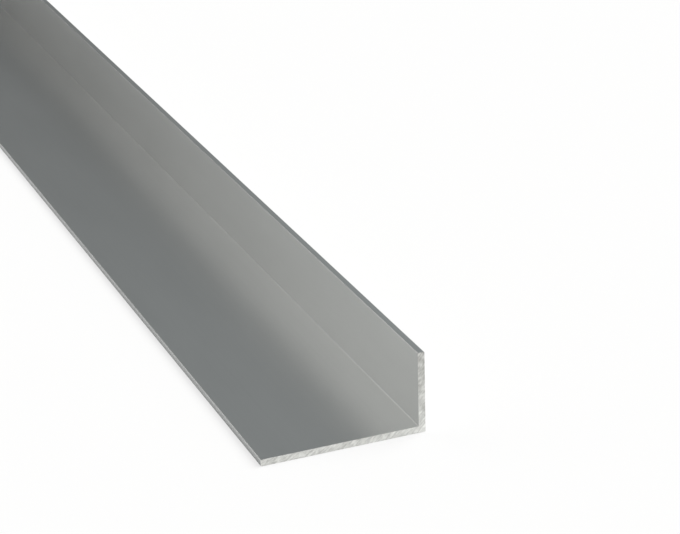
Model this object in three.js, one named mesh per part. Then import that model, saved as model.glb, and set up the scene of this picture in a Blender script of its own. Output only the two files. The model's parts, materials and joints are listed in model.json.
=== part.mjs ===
// Unequal-leg aluminium angle: one length of extruded stock, sawn square at both ends.
// Millimetres, +Z up.
//
// The angle lies on its wide leg. Its length runs along X. The wide leg spans Y, from its toe
// on the -Y side to the heel on the +Y side, and the narrow leg stands up from the heel. The
// origin is on the face that the angle lies on, in the middle of the footprint.

import * as THREE from 'three';

// Driving dimensions
const stockLength = 1000; // from sawn end to sawn end
const wideLegWidth = 60; // outside, from toe to heel
const narrowLegHeight = 30; // outside, from toe to heel
const wallThickness = 2.5; // both legs
const rootRadius = 0.4; // fillet in the inside corner
const toeRadius = 0.3; // both corners of each leg's free edge
const heelRadius = 0.2; // outside corner
const arcSteps = 4; // curveSegments: a quarter arc gets twice as many chords

// Directions of the corner arcs' ends, as seen looking along the extrusion
const facingRight = 0;
const facingUp = Math.PI / 2;
const facingLeft = Math.PI;
const facingDown = -Math.PI / 2;

const millFinish = new THREE.MeshStandardMaterial({
  name: 'mill_finish_aluminium',
  color: 0xb4b7b5,
  metalness: 1,
  roughness: 0.35,
});

// The section has x across the wide leg and y up the narrow one. It is the outline of the die's
// opening: two legs that share one wall thickness, a fillet where they meet inside, and small
// radii on every outside corner, because a die can't press metal into a dead sharp one.
function angleSection() {
  const toeX = -wideLegWidth / 2;
  const heelX = wideLegWidth / 2;
  const innerX = heelX - wallThickness;
  const outline = new THREE.Shape();

  // Heel, then up the outside of the narrow leg and over its toe
  outline.absarc(heelX - heelRadius, heelRadius, heelRadius, facingDown, facingRight);
  outline.absarc(heelX - toeRadius, narrowLegHeight - toeRadius, toeRadius, facingRight, facingUp);
  outline.absarc(innerX + toeRadius, narrowLegHeight - toeRadius, toeRadius, facingUp, facingLeft);

  // Down the inside of the narrow leg and round the root, which turns the other way
  const rootX = innerX - rootRadius;
  const rootY = wallThickness + rootRadius;
  outline.absarc(rootX, rootY, rootRadius, facingRight, facingDown, true);

  // Along the top of the wide leg, over its toe and back under it to the heel
  outline.absarc(toeX + toeRadius, wallThickness - toeRadius, toeRadius, facingUp, facingLeft);
  outline.absarc(toeX + toeRadius, toeRadius, toeRadius, facingLeft, facingLeft + Math.PI / 2);
  outline.closePath();
  return outline;
}

// Extruding runs along the section's own z, so the length is turned onto X: the section's x
// becomes Y and its y becomes Z.
function angleProfile() {
  const stock = new THREE.ExtrudeGeometry(angleSection(), {
    depth: stockLength,
    bevelEnabled: false,
    curveSegments: arcSteps,
  });
  const profile = new THREE.Mesh(stock, millFinish);
  profile.name = 'angle_profile';
  profile.rotation.set(Math.PI / 2, Math.PI / 2, 0);
  profile.position.x = -stockLength / 2;
  return profile;
}

const aluminiumAngle = new THREE.Group();
aluminiumAngle.add(angleProfile());

export default aluminiumAngle;
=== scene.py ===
# %% [markdown]
# # A length of aluminium angle
# The object is one piece of extruded stock: an L section with a wide leg and a narrow leg, pressed
# through a die and sawn off square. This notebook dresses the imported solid. It builds the same
# section with the marks that the die and the saw leave, gives it a mill finish, and lights it.
# The frame comes first, because every size below is read from it.

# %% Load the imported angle
import json
import math

import bmesh
import bpy
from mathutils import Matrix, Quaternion, Vector, noise


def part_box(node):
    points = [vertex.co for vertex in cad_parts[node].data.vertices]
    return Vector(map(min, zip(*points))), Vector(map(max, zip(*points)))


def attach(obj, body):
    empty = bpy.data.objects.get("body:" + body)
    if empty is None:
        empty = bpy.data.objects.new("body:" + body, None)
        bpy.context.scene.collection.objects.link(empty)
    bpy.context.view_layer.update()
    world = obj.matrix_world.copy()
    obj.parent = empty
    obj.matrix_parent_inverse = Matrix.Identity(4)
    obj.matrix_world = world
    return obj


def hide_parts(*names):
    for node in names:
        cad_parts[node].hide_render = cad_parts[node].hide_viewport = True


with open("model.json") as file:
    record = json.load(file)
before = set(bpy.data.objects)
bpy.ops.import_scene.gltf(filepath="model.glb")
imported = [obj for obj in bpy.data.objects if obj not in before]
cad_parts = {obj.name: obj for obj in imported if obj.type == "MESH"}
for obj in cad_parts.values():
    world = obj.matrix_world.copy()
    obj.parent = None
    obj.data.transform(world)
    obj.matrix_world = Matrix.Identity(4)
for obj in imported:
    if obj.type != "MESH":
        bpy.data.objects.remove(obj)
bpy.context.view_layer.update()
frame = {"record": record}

low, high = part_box("angle_profile")
print("angle from", tuple(low), "to", tuple(high))

# %% [markdown]
# ## The camera
# A long lens close to the sawn end shows the section and the run of both legs at once. The camera
# is written as a place, the way it looks and a small lean, so that each can be changed alone.
# A tracking constraint could aim it too, but a rotation that is set once has nothing to undo when
# the object is looked at from other sides.

# %% Place the camera
CAMERA_PLACE = Vector((1.13162, -0.24879, 0.35216))
CAMERA_LOOKS = Vector((-0.85736, 0.33828, -0.38794))
CAMERA_LEAN = math.radians(1.73)   # clockwise, as the camera sees it
LENS_MM = 119.9
SENSOR_MM = 36                     # the wide side

camera = bpy.data.objects.new("camera", bpy.data.cameras.new("camera"))
bpy.context.scene.collection.objects.link(camera)
bpy.context.scene.camera = camera
camera.data.lens = LENS_MM
camera.data.sensor_width = SENSOR_MM
camera.location = CAMERA_PLACE
upright_aim = CAMERA_LOOKS.to_track_quat("-Z", "Y")
camera.rotation_mode = "QUATERNION"
camera.rotation_quaternion = upright_aim @ Quaternion((0, 0, 1), -CAMERA_LEAN)
print("camera to sawn end:", round((CAMERA_PLACE - Vector((high.x, 0, 0))).length, 3), "m")

# %% [markdown]
# ## The section
# An angle begins as the opening of a die. Six corner points give the L, and a vertex bevel rounds
# each corner with its own radius, as the die does: a fillet in the root, small radii outside.
# A curve or a boolean could make the same outline, but a bevelled face keeps the corners as true
# arcs and needs no cleaning up.

# %% Draw the section and round its corners
mounts = {m["name"]: Vector(m["pos_m"]) for m in frame["record"]["mounts"]}
WALL = mounts["wide_leg_inside"].z
INNER = mounts["narrow_leg_inside"].y
ROOT_RADIUS = 0.0004
TOE_RADIUS = 0.0003
HEEL_RADIUS = 0.0002
ARC_SEGMENTS = 6
TRUE_ARC = 0.5                     # the bevel profile that follows a circle
SAME_POINT = 1e-6


def round_corners(mesh, places, radius):
    """Turn the points at these places into arcs."""
    corners = [v for v in mesh.verts
               if any((v.co - Vector(p)).length < SAME_POINT for p in places)]
    bmesh.ops.bevel(mesh, geom=corners, offset=radius, offset_type="OFFSET", affect="VERTICES",
                    segments=ARC_SEGMENTS, profile=TRUE_ARC, material=-1)


wide_toe = [(low.x, low.y, low.z), (low.x, low.y, WALL)]
narrow_toe = [(low.x, high.y, high.z), (low.x, INNER, high.z)]
heel = (low.x, high.y, low.z)
root = (low.x, INNER, WALL)

stock = bmesh.new()
outline = [wide_toe[0], heel, *narrow_toe, root, wide_toe[1]]
stock.faces.new([stock.verts.new(p) for p in outline])
round_corners(stock, [heel], HEEL_RADIUS)
round_corners(stock, [root], ROOT_RADIUS)
round_corners(stock, wide_toe + narrow_toe, TOE_RADIUS)
print("section:", len(stock.verts), "points, wall", round(WALL * 1000, 2), "mm")

# %% [markdown]
# ## Room for the marks
# The saw's marks need a fine grid of points on the two ends. The grid is cut while the section is
# still one flat face, which takes far fewer cuts than a solid would. The arcs stay where they are,
# because a plane cut only adds points on what it crosses.

# %% Cut a grid into the section
GRID = 0.00015                     # spacing of the cuts
ON_THE_CUT = 1e-7                  # points as near as this to a cut are left as they are


def cut(mesh, place, normal):
    """Add points and edges where this plane crosses the mesh."""
    bmesh.ops.bisect_plane(mesh, geom=mesh.verts[:] + mesh.edges[:] + mesh.faces[:],
                           dist=ON_THE_CUT, plane_co=place, plane_no=normal)


for i in range(1, round((high.y - low.y) / GRID)):
    cut(stock, (0, low.y + i * GRID, 0), (0, 1, 0))
for i in range(1, round((high.z - low.z) / GRID)):
    cut(stock, (0, 0, low.z + i * GRID), (0, 0, 1))
print("grid:", len(stock.faces), "faces on each end")

# %% [markdown]
# ## The length
# The press pushes metal through the die, so the solid is the section pushed along X. The faces of
# the two ends are kept in a list, because the saw works on them next and they get a finish of
# their own.

# %% Push the section along the length
def is_end(face):
    """Ends face along X, long faces across it."""
    return abs(face.normal.x) > 0.5


pushed = bmesh.ops.extrude_face_region(stock, geom=stock.faces[:])
moved = [v for v in pushed["geom"] if isinstance(v, bmesh.types.BMVert)]
bmesh.ops.translate(stock, verts=moved, vec=(high.x - low.x, 0, 0))
bmesh.ops.recalc_face_normals(stock, faces=stock.faces)
end_faces = [f for f in stock.faces if is_end(f)]
long_faces = [f for f in stock.faces if not is_end(f)]
print("stock:", len(end_faces), "end faces,", len(long_faces), "long faces")
print("volume:", round(stock.calc_volume() * 1e9), "mm3")

# %% [markdown]
# ## Die lines
# Tiny flaws in the die drag faint lines down the whole length. They are the same at every X, so
# the depth is noise of Y and Z alone, and it always goes into the metal. Bump alone could
# show them, but real depth also bends the edge of a reflection, as it does on the bar.

# %% Press the die lines
DIE_LINE_DEPTH = 0.000004
DIE_LINE_WIDTH = 0.0007
DIE_SEED = 3.7


def noise_level(place, size, seed):
    """Smooth noise from 0 to 1, with features of about this size."""
    return 0.5 + 0.5 * noise.noise(place / size + Vector((seed, seed, seed)))


long_points = {v for f in long_faces for v in f.verts}
outward = {}
for v in long_points:
    normals = [f.normal for f in v.link_faces if not is_end(f)]
    outward[v] = sum(normals, Vector()).normalized()
for v, out in outward.items():
    across = Vector((0, v.co.y, v.co.z))
    v.co -= out * DIE_LINE_DEPTH * noise_level(across, DIE_LINE_WIDTH, DIE_SEED)
print("die lines on", len(outward), "points, up to", DIE_LINE_DEPTH * 1e6, "micrometres deep")

# %% [markdown]
# ## Saw marks
# A circular blade leaves arcs about its own middle, far outside the section, so on the thin legs
# they look like slanting streaks. Their depth comes and goes in patches. Bump alone could show
# them, but the arris would stay straight, and on a sawn end it isn't.

# %% Describe the blade's marks
BLADE_RADIUS = 0.150
BLADE_SIDE = Vector((0, -0.616, 0.788))   # from the section towards the blade's middle
TOOTH_PITCH = 0.0009
PATCH_SIZE = 0.0045
GRAIN_SIZE = 0.00045
WANDER_SIZE = PATCH_SIZE * 0.6
WANDER = 1.6                       # how far the arcs stray, in tooth pitches
ALL_OVER, IN_ARCS, IN_GRAIN, IN_PATCHES = 0.15, 0.45, 0.25, 0.15   # shares of the deepest mark
PATCH_SEED, GRAIN_SEED = 11, 23    # added to the seed of an end
blade_middle = BLADE_SIDE * BLADE_RADIUS


def mark_depth(place, seed):
    """How deep the saw has cut here, as a share of the deepest mark."""
    across = Vector((0, place.y, place.z))
    radius = (across - blade_middle).length
    wander = WANDER * noise_level(across, WANDER_SIZE, seed)
    arcs = 0.5 + 0.5 * math.sin(2 * math.pi * (radius / TOOTH_PITCH + wander))
    patch = noise_level(across, PATCH_SIZE, seed + PATCH_SEED)
    grain = noise_level(across, GRAIN_SIZE, seed + GRAIN_SEED)
    return ALL_OVER + IN_ARCS * arcs * patch + IN_GRAIN * grain + IN_PATCHES * patch


print("blade's middle at y, z:", round(blade_middle.y, 3), round(blade_middle.z, 3), "m")

# %% [markdown]
# ## Chips
# Where the teeth enter and leave the metal, small chips break out of the arris. They come in
# groups, so one noise places the chips and a coarser one the groups. They could be cut out of the
# mesh one by one, but the grid is fine enough to hold them as depth.

# %% Describe the chips
CHIP_SIZE = 0.00042
CHIP_STRETCH = 0.0035              # size of a group
CHIPS_ABOVE = 0.45                 # level of the noise at which a chip begins
GROUPS_ABOVE = 0.3
CHIP_SEED, GROUP_SEED = 31, 37
CHIP_GAIN = 2.2                    # fills the groups' middles with chips of full depth


def part_above(level, start):
    """0 up to the start, and from there a straight rise to 1."""
    return max(0.0, level - start) / (1 - start)


def chip_depth(place, seed):
    """How deep the arris is chipped here, as a share of the deepest chip."""
    across = Vector((0, place.y, place.z))
    chips = part_above(noise_level(across, CHIP_SIZE, seed + CHIP_SEED), CHIPS_ABOVE)
    groups = part_above(noise_level(across, CHIP_STRETCH, seed + GROUP_SEED), GROUPS_ABOVE)
    return min(1.0, CHIP_GAIN * chips * groups)


print("chips about", CHIP_SIZE * 1000, "mm across, in groups of", CHIP_STRETCH * 1000, "mm")

# %% [markdown]
# ## Two sawn ends
# Both ends were cut by the same kind of blade, so they share the marks and differ only in the seed.
# Points are moved along X and always into the metal, so the bar keeps its length. A displace
# modifier could move them too, but its textures don't know the blade's arcs.

# %% Saw the two ends
MARK_DEPTH = 0.00008
CHIP_DEPTH = 0.00016
FRONT_SEED, BACK_SEED = 5.3, 47.9

depths = []
for v in {v for f in end_faces for v in f.verts}:
    front = v.co.x > 0
    seed = FRONT_SEED if front else BACK_SEED
    depth = MARK_DEPTH * mark_depth(v.co, seed)
    if v in outward:
        depth += CHIP_DEPTH * chip_depth(v.co, seed)
    v.co.x += -depth if front else depth
    depths.append(depth)
print("saw marks:", round(min(depths) * 1e6), "to", round(max(depths) * 1e6), "micrometres deep")

# %% [markdown]
# ## One piece
# The mesh becomes the object that stands for the solid. Its faces are smooth shaded, with sharp
# edges only where a long face meets a sawn one, so the arcs look round and the arris stays crisp.
# The ends use the second material. The mesh's texture space is moved far out along Y, because the
# shader turns its tangent about that space's middle, and from so far off it points along X on
# every long face.

# %% Turn the mesh into a piece
SAWN_SLOT = 1                      # the second material
TANGENTS_TURN_ABOUT = (0, -100, 0)

for face in stock.faces:
    face.smooth = True
for face in end_faces:
    face.material_index = SAWN_SLOT
for edge in stock.edges:
    edge.smooth = len({f.material_index for f in edge.link_faces}) == 1
mesh = bpy.data.meshes.new("angle_stock")
mesh.use_auto_texspace = False
mesh.texspace_location = TANGENTS_TURN_ABOUT
mesh.texspace_size = (1, 1, 1)
stock.to_mesh(mesh)
stock.free()
angle = bpy.data.objects.new("angle_stock", mesh)
bpy.context.scene.collection.objects.link(angle)
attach(angle, "root")
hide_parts("angle_profile")
print("angle_stock:", len(mesh.polygons), "faces")

# %% [markdown]
# ## Shader maths
# A finish is a few formulas. This class wraps a socket, so that a formula can be written as plain
# Python and adds its own Math nodes. Any other node comes from its node method, which takes the
# node's type, its settings and what goes into its sockets. Short methods stand for the nodes that
# come again and again. Node groups could do this too, but a formula is easier to read.

# %% A socket that Python can calculate with
class Wire:
    def __init__(self, socket):
        self.socket = socket

    def node(self, kind, settings, inputs, output=0):
        made = self.socket.id_data.nodes.new(kind)
        for name, value in settings.items():
            if name == "stops":
                set_stops(made.color_ramp, value)
            else:
                setattr(made, name, value)
        for name, value in inputs.items():
            feed(made.inputs[name], value)
        return Wire(made.outputs[output])

    def math(self, operation, *others):
        return self.node("ShaderNodeMath", {"operation": operation},
                         dict(enumerate((self, *others))))

    def vector_math(self, operation, *others, output="Vector"):
        return self.node("ShaderNodeVectorMath", {"operation": operation},
                         dict(enumerate((self, *others))), output)

    def axis(self, name):
        return self.node("ShaderNodeSeparateXYZ", {}, {"Vector": self}, name)

    def ramp(self, stops):
        return self.node("ShaderNodeValToRGB", {"stops": stops}, {"Fac": self})

    def bump(self, strength, distance):
        return self.node("ShaderNodeBump", {},
                         {"Height": self, "Strength": strength, "Distance": distance})

    def __add__(self, other):
        return self.math("ADD", other)

    def __mul__(self, other):
        return self.math("MULTIPLY", other)

    def __sub__(self, other):
        return self.math("SUBTRACT", other)

    def __rsub__(self, other):
        return -self + other

    def __neg__(self):
        return self * -1

    __radd__ = __add__
    __rmul__ = __mul__


def feed(socket, value):
    """Link a wire to a socket, or set the socket to a value."""
    if isinstance(value, Wire):
        socket.id_data.links.new(value.socket, socket)
    else:
        socket.default_value = value


def set_stops(ramp, stops):
    """Give a colour ramp these stops: pairs of a position and a colour."""
    while len(ramp.elements) < len(stops):
        ramp.elements.new(1)
    for element, (position, color) in zip(ramp.elements, stops):
        element.position = position
        element.color = (*color, 1)


# %% [markdown]
# ## What every finish needs
# Each finish is a material whose formulas start from the place on the object, so the marks hold
# still when it moves. Texture coordinates that are unwrapped could do this too, but a place in
# metres keeps the scratches at their real size.

# %% Start a finish
def new_finish(name):
    """A material and its shader node."""
    material = bpy.data.materials.new(name)
    material.use_nodes = True
    return material, material.node_tree.nodes["Principled BSDF"]


def place_in(material):
    """A wire that holds the place on the object."""
    return Wire(material.node_tree.nodes.new("ShaderNodeTexCoord").outputs["Object"])


# %% [markdown]
# ## Mill finish
# Aluminium straight from the press is satin: neither brushed nor polished. The die leaves lines too
# fine to see, which blur a reflection more across the bar than along it, so the shader is
# anisotropic. Coarser streaks are noise stretched along X, and the metal clouds faintly where it
# was handled. Bump could stand for the fine lines too, but at their size it would only be grain.

# %% Mill finish for the long faces
METAL_DULL = (0.528, 0.544, 0.539)
METAL_BRIGHT = (0.562, 0.578, 0.573)
DULL_AT, BRIGHT_AT = 0.3, 0.7      # tones at which the metal has these colours
STREAKS_IN_TONE, CLOUDS_IN_TONE = 0.35, 0.65
MILL_ROUGHNESS = 0.28
ROUGHER_IN_STREAKS = 0.04
ROUGHER_IN_CLOUDS = 0.02
ACROSS_MORE_THAN_ALONG = 0.65
QUARTER_TURN = 0.25                # turns the wide blur from along the bar to across it
STREAK_SCALE = (5, 1400, 1400)     # features each metre: long ones along X, fine ones across
STREAK_DETAIL = 2
STREAK_RELIEF = 0.00001
STREAK_STRENGTH = 0.5
CLOUD_SCALE = (14, 60, 60)
CLOUD_DETAIL = 3


def stretched_noise(place, scale, detail):
    stretched = place.node("ShaderNodeMapping", {}, {"Vector": place, "Scale": scale})
    return stretched.node("ShaderNodeTexNoise", {},
                          {"Vector": stretched, "Scale": 1.0, "Detail": detail})


mill_finish, shader = new_finish("mill_finish")
place = place_in(mill_finish)
streaks = stretched_noise(place, STREAK_SCALE, STREAK_DETAIL)
clouds = stretched_noise(place, CLOUD_SCALE, CLOUD_DETAIL)
tone = STREAKS_IN_TONE * streaks + CLOUDS_IN_TONE * clouds
color = tone.ramp(((DULL_AT, METAL_DULL), (BRIGHT_AT, METAL_BRIGHT)))
relief = streaks.bump(STREAK_STRENGTH, STREAK_RELIEF)
roughness = MILL_ROUGHNESS + ROUGHER_IN_STREAKS * streaks + ROUGHER_IN_CLOUDS * clouds
feed(shader.inputs["Metallic"], 1)
feed(shader.inputs["Base Color"], color)
feed(shader.inputs["Roughness"], roughness)
feed(shader.inputs["Anisotropic"], ACROSS_MORE_THAN_ALONG)
feed(shader.inputs["Anisotropic Rotation"], QUARTER_TURN)
feed(shader.inputs["Normal"], relief)
angle.data.materials.append(mill_finish)
print("mill finish:", len(mill_finish.node_tree.nodes), "nodes")

# %% [markdown]
# ## Sawn finish
# Each tooth wipes the metal bright along its own arc, so the ends are paler and rougher than the
# pressed faces. The shader measures how far a point is from the blade's middle and stretches noise
# along that arc, which puts the fine scratches on the same circles as the marks in the mesh.
# Painted light makes the cut paler towards the heel, and painted shade makes it darker up the
# narrow leg. Both are light and shade put into the colour, not the metal's own tone. Vertex colours
# could carry this, but they would be no finer than the grid.

# %% Sawn finish for the two ends
SAWN_DULL = (0.45, 0.452, 0.43)
SAWN_BRIGHT = (0.992, 1.0, 0.973)
SAWN_DULL_AT, SAWN_BRIGHT_AT = 0.27, 0.67
SCRATCHES_IN_TONE, PATCHES_IN_TONE = 0.6, 0.4
SAWN_ROUGHNESS = 0.35
ROUGHER_IN_PATCHES = 0.2
SCRATCHES_PER_METRE = 1500
SMEARS_PER_METRE = 380
PATCHES_PER_METRE = 420.0
SCRATCH_DETAIL = PATCH_DETAIL = 3
SCRATCH_RELIEF = 0.00003
SCRATCH_STRENGTH = 0.6
# Painted light and shade: the tone rises towards the heel, and a painted shade darkens the cut up
# the narrow leg.
PAINTED_LIGHT_TO_HEEL = 1.75               # change of tone for each metre of width
PAINTED_SHADE_UP = ((0.08, 0), (0.13, 0.5), (1.0, 1))   # share of DEEPEST_PAINTED_SHADE by share of the height
DEEPEST_PAINTED_SHADE = 0.195


def grey(pairs):
    """Stops for a ramp that carries one number."""
    return [(position, (level,) * 3) for position, level in pairs]


sawn_finish, shader = new_finish("sawn_finish")
place = place_in(sawn_finish)
from_blade = place.vector_math("SUBTRACT", tuple(blade_middle)).vector_math("MULTIPLY", (0, 1, 1))
radius = from_blade.vector_math("LENGTH", output="Value")
aside = from_blade.axis("Y")
arc_length = from_blade.axis("Z").math("ARCTAN2", aside) * BLADE_RADIUS
on_arc = radius.node("ShaderNodeCombineXYZ", {}, {"X": radius * SCRATCHES_PER_METRE,
                                                  "Y": arc_length * SMEARS_PER_METRE, "Z": 0.0})
scratches = on_arc.node("ShaderNodeTexNoise", {},
                        {"Vector": on_arc, "Scale": 1.0, "Detail": SCRATCH_DETAIL})
patches = place.node("ShaderNodeTexNoise", {},
                     {"Vector": place, "Scale": PATCHES_PER_METRE, "Detail": PATCH_DETAIL})
share_of_height = (place.axis("Z") - low.z) * (1 / (high.z - low.z))
# Painted shade up the narrow leg here, and painted light towards the heel in the tone below.
# Neither is the metal's own colour.
painted_shade = DEEPEST_PAINTED_SHADE * share_of_height.ramp(grey(PAINTED_SHADE_UP))
tone = (SCRATCHES_IN_TONE * scratches + PATCHES_IN_TONE * patches
        + PAINTED_LIGHT_TO_HEEL * place.axis("Y") - painted_shade)
color = tone.ramp(((SAWN_DULL_AT, SAWN_DULL), (SAWN_BRIGHT_AT, SAWN_BRIGHT)))
feed(shader.inputs["Metallic"], 1)
feed(shader.inputs["Base Color"], color)
feed(shader.inputs["Roughness"], SAWN_ROUGHNESS + ROUGHER_IN_PATCHES * patches)
feed(shader.inputs["Normal"], scratches.bump(SCRATCH_STRENGTH, SCRATCH_RELIEF))
angle.data.materials.append(sawn_finish)
print("sawn finish:", len(sawn_finish.node_tree.nodes), "nodes")

# %% [markdown]
# ## Floor
# A sheet of white paper, far larger than the bar, so that its edge stays out of every view. It
# lies a tenth of a millimetre below the bar, which keeps the two surfaces from flickering.
# To the eye most of its white is plain, as on paper lit from below, so the shadows stay faint. The
# metal mirrors a smaller part of that plain white. The light that the paper throws back onto the
# bar still comes from the lamp and the room alone.

# %% Lay the floor
FLOOR_HALF = 15                    # metres from its middle to an edge
FLOOR_GAP = 0.0001
PAPER = (0.94, 0.94, 0.94, 1)
PAPER_ROUGHNESS = 0.9
WHITE = (1, 1, 1, 1)
SEEN_WHITE = 0.75                  # share of the white that no light changes, to the eye
MIRRORED_WHITE = 0.22              # and to the metal

sheet = bmesh.new()
bmesh.ops.create_grid(sheet, x_segments=1, y_segments=1, size=FLOOR_HALF)
bmesh.ops.translate(sheet, verts=sheet.verts, vec=(0, 0, low.z - FLOOR_GAP))
floor = bpy.data.objects.new("floor", bpy.data.meshes.new("floor"))
sheet.to_mesh(floor.data)
sheet.free()
bpy.context.scene.collection.objects.link(floor)
paper, shader = new_finish("white_paper")
feed(shader.inputs["Base Color"], PAPER)
feed(shader.inputs["Roughness"], PAPER_ROUGHNESS)
feed(shader.inputs["Specular IOR Level"], 0)
lit = Wire(shader.outputs["BSDF"])
seen = lit.node("ShaderNodeLightPath", {}, {}, "Is Camera Ray")
mirrored = lit.node("ShaderNodeLightPath", {}, {}, "Is Glossy Ray")
white = lit.node("ShaderNodeEmission", {}, {"Color": WHITE, "Strength": 1.0})
both = lit.node("ShaderNodeMixShader", {},
                {0: seen * SEEN_WHITE + mirrored * MIRRORED_WHITE, 1: lit, 2: white})
feed(paper.node_tree.nodes["Material Output"].inputs["Surface"], both)
floor.data.materials.append(paper)
print("floor:", 2 * FLOOR_HALF, "m square,", FLOOR_GAP * 1000, "mm below the bar")

# %% [markdown]
# ## Light
# Metal shows what stands around it more than it shows its own colour. Soft boxes are painted into a
# dim room. The upright leg shows the left box and is pale. The wide leg shows the cooler box beyond
# the far end with a faint one above it, and where the upright hides them it has its darker band.
# Next to the upright it is pale again, where the left box reaches it by two bounces. The left box
# leans, so the root's fillet still meets it low down. Boxes of mesh could stand there too, but they
# would be in the way of other views, and a painted one is far off, so its light is even.

# %% Room
ROOM = (0.10, 0.10, 0.10)
LEANS_BELOW = 0.42
BOXES = {
    # across: its strength by azimuth, in degrees from +X through +Y
    # upwards: its strength by the sine of the height above the horizon
    # lean: degrees of azimuth by which it stands further round, for each unit of that sine that a
    # point is under LEANS_BELOW
    "left": {
        "color": (1.0, 0.97, 0.945),
        "strength": 1.86,
        "across": ((180, 0), (195, 0.7), (210, 1), (225, 0.38), (240, 0)),
        "upwards": ((0, 0.7), (0.18, 0.75), (0.42, 1), (0.56, 0.88), (0.72, 0.5), (0.88, 0)),
        "lean": 120,
    },
    "far": {
        "color": (0.945, 1.0, 1.015),
        "strength": 0.9,
        "across": ((120, 0), (135, 1), (150, 0.62), (165, 0.17), (180, 0)),
        "upwards": ((0.18, 1), (0.42, 0.6), (0.56, 0.22), (0.72, 0)),
        "lean": 0,
    },
    "far_high": {
        "color": (0.945, 1.0, 1.015),
        "strength": 0.16,
        "across": ((60, 0), (90, 1), (180, 1), (195, 0)),
        "upwards": ((0.26, 0), (0.34, 0.35), (0.41, 0.8), (0.50, 1), (0.64, 0.25), (0.95, 0)),
        "lean": 0,
    },
}

world = bpy.data.worlds.new("room")
bpy.context.scene.world = world
world.use_nodes = True
direction = Wire(world.node_tree.nodes.new("ShaderNodeTexCoord").outputs["Generated"])
height = direction.axis("Z")
from_behind = (-direction.axis("Y")).math("ARCTAN2", -direction.axis("X"))   # radians from -X
azimuth = from_behind * (0.5 / math.pi) + 0.5    # 0 to 1, once round from +X
sky = ROOM
for box in BOXES.values():
    leaning = azimuth + box["lean"] / 360 * (height.math("MINIMUM", LEANS_BELOW) - LEANS_BELOW)
    across = leaning.ramp(grey((degrees / 360, level) for degrees, level in box["across"]))
    glow = across.vector_math("MULTIPLY", height.ramp(grey(box["upwards"])))
    sky = glow.vector_math("MULTIPLY_ADD", [box["strength"] * c for c in box["color"]], sky)
feed(world.node_tree.nodes["Background"].inputs["Color"], sky)
print("room:", len(BOXES), "soft boxes")

# %% [markdown]
# ## The right lamp
# One lamp lights the sawn end and the floor. It is a sun with a wide angle: it lights the floor
# evenly, as a box close by would not, and still gives soft edges.

# %% Lamp
LAMP_AZIMUTH = math.radians(80)
LAMP_HEIGHT = math.radians(50)
LAMP_WIDTH = math.radians(60)
LAMP_STRENGTH = 3.4
LAMP_COLOR = (1.0, 1.0, 0.985)

lamp = bpy.data.objects.new("lamp_right", bpy.data.lights.new("lamp_right", "SUN"))
bpy.context.scene.collection.objects.link(lamp)
lamp.location = (math.cos(LAMP_HEIGHT) * math.cos(LAMP_AZIMUTH),
                 math.cos(LAMP_HEIGHT) * math.sin(LAMP_AZIMUTH), math.sin(LAMP_HEIGHT))
lamp.rotation_euler = lamp.location.to_track_quat("Z", "Y").to_euler()
lamp.data.angle = LAMP_WIDTH
lamp.data.energy = LAMP_STRENGTH
lamp.data.color = LAMP_COLOR
print("lamp_right lights the floor with", round(LAMP_STRENGTH * math.sin(LAMP_HEIGHT) / math.pi, 2))

# %% [markdown]
# ## The view
# The colours are written for the Standard view, which shows them as they are.

# %% Set the view
bpy.context.scene.view_settings.view_transform = "Standard"
